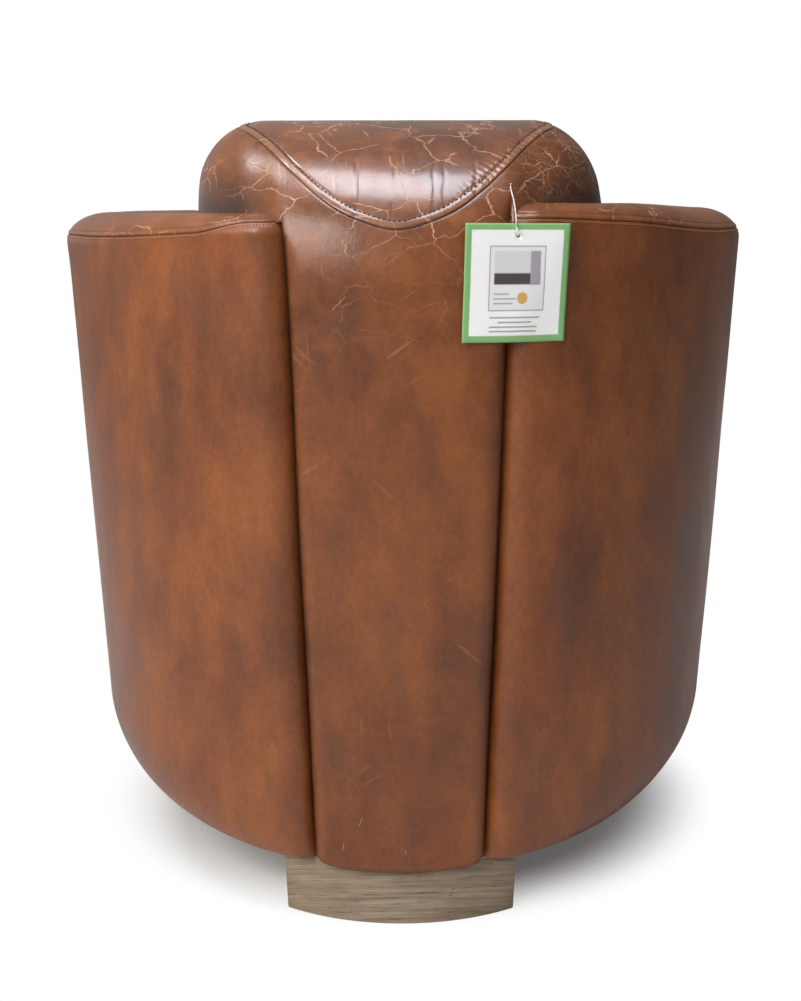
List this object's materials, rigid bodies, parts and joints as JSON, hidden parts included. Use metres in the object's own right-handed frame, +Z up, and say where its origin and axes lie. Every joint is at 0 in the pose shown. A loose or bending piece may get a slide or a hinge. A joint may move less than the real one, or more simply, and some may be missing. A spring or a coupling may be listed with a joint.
{
  "type": "leather barrel chair",
  "caption": "Rounded leather barrel chair with broad flared arms, a raised headrest roll, a loose seat cushion and a low oak plinth.",
  "frame": {"origin": "on the floor, under the middle of the chair without its hang tag", "axes": "+Z up, -Y the way the sitter faces, +X to the sitter's left"},
  "size_m": [0.7982, 0.7999, 0.8539],
  "materials": {
    "hide": "satin",
    "oak": "matte",
    "pine": "matte",
    "fibreboard": "matte",
    "foam": "matte",
    "steel": "satin",
    "nylon": "matte",
    "cloth": "matte",
    "card": "matte",
    "string": "matte"
  },
  "bodies": {
    "chair": {"arm_outer_leather_left": "hide", "arm_outer_leather_right": "hide", "arm_top_leather_left": "hide", "arm_top_leather_right": "hide", "back_panel_leather": "hide", "headrest_top_leather": "hide", "inside_back_leather": "hide", "apron_leather": "hide", "plinth_rear_block": "oak", "plinth_front_block": "oak", "plinth_side_left": "oak", "plinth_side_right": "oak", "plinth_cross_brace": "oak", "base_board": "pine", "front_bulkhead": "pine", "rear_bulkhead": "pine", "seat_rail_left": "pine", "seat_rail_right": "pine", "back_post_left": "pine", "back_post_right": "pine", "back_top_rail": "pine", "back_mid_rail": "pine", "arm_rim_left": "pine", "arm_rim_right": "pine", "arm_rib_left_1": "pine", "arm_rib_left_2": "pine", "arm_rib_right_1": "pine", "arm_rib_right_2": "pine", "arm_outer_board_left": "fibreboard", "arm_outer_board_right": "fibreboard", "back_outer_board": "fibreboard", "front_board": "fibreboard", "arm_padding_left": "foam", "arm_padding_right": "foam", "back_foam": "foam", "headrest_foam": "foam", "apron_padding": "foam", "deck_pad": "foam", "seat_spring_1": "steel", "seat_spring_2": "steel", "seat_spring_3": "steel", "seat_spring_4": "steel", "seat_spring_5": "steel", "spring_strip_front": "steel", "spring_strip_rear": "steel", "plinth_bolt_left_1": "steel", "plinth_bolt_left_2": "steel", "plinth_bolt_right_1": "steel", "plinth_bolt_right_2": "steel", "glide_rear_left": "nylon", "glide_rear_right": "nylon", "glide_front_left": "nylon", "glide_front_right": "nylon", "dust_cover": "cloth", "back_webbing": "cloth"},
    "seat_cushion": {"cushion_core": "foam", "cushion_cover": "hide"},
    "zip_slider": {"cushion_zip_slider": "steel"},
    "tag": {"hang_tag": "card", "tag_string": "string"}
  },
  "joints": [
    {"name": "cushion_lift", "type": "slide", "parent": "chair", "child": "seat_cushion", "axis": [0, 0, 1], "range_m": [0, 0.45]},
    {"name": "zip_run", "type": "slide", "parent": "seat_cushion", "child": "zip_slider", "axis": [1, 0, 0], "range_m": [0, 0.221]},
    {"name": "tag_swing", "type": "hinge", "parent": "chair", "child": "tag", "pos_m": [-0.1135, 0.349, 0.7945], "axis": [1, 0, 0], "range_deg": [0, 110]}
  ]
}
